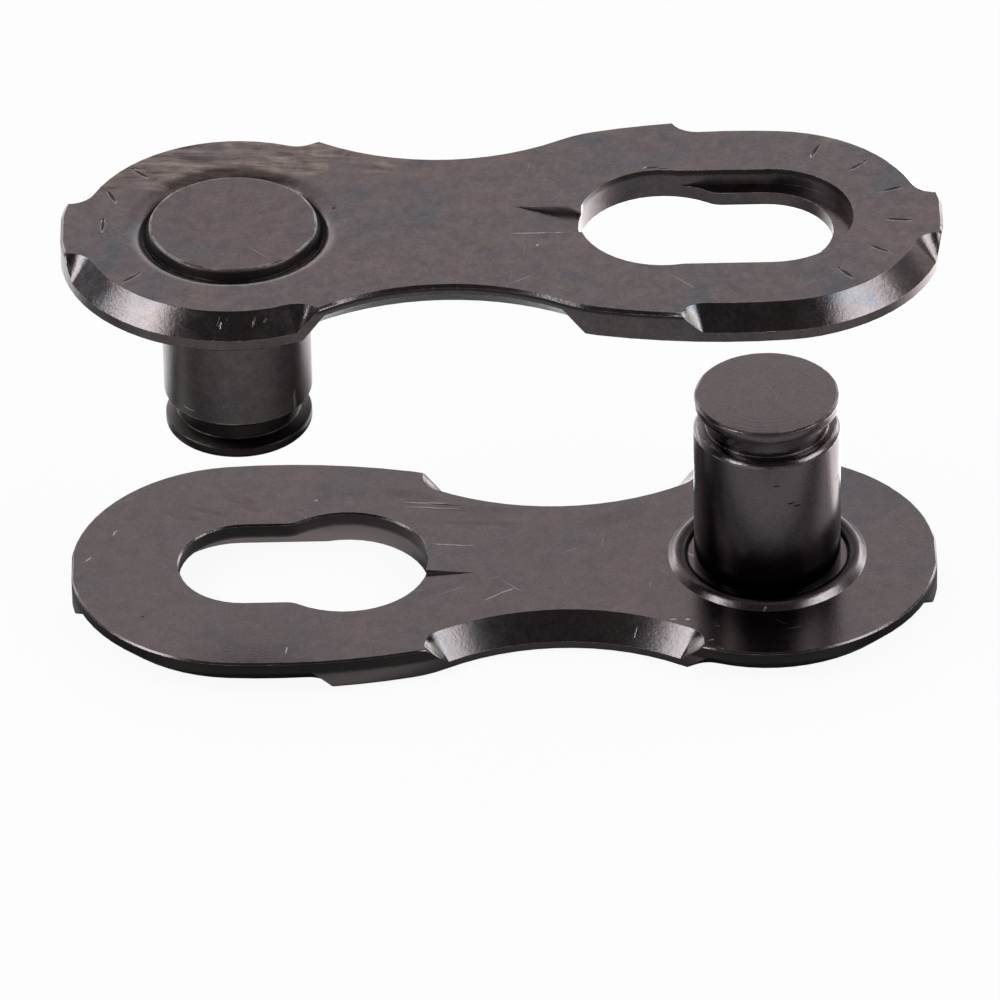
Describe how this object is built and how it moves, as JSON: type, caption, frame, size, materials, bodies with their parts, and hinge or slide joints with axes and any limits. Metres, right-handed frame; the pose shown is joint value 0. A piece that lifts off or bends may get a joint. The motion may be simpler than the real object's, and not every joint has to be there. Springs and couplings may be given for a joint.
{
  "type": "chain connecting link",
  "caption": "Quick-release connecting link for a roller chain, drawn apart: stamped steel plates with keyhole slots, each carrying a riveted locking pin.",
  "frame": {"origin": "on the floor under the middle of the link, at the height of the lower pin's head", "axes": "+X along the chain, towards the lower half's pin; +Z along the pins, from the lower half to the upper half"},
  "size_m": [0.021, 0.0084, 0.0108],
  "materials": {
    "plate_steel": "satin dark blued steel",
    "pin_steel": "satin dark blued steel, turned"
  },
  "bodies": {
    "lower_half": {"lower_plate": "plate_steel", "lower_pin": "pin_steel"},
    "upper_half": {"upper_plate": "plate_steel", "upper_pin": "pin_steel"}
  },
  "joints": [
    {"name": "lock_slide", "type": "slide", "parent": "lower_half", "child": "upper_half", "axis": [1, 0, 0], "range_m": [0, 0.00245]}
  ]
}
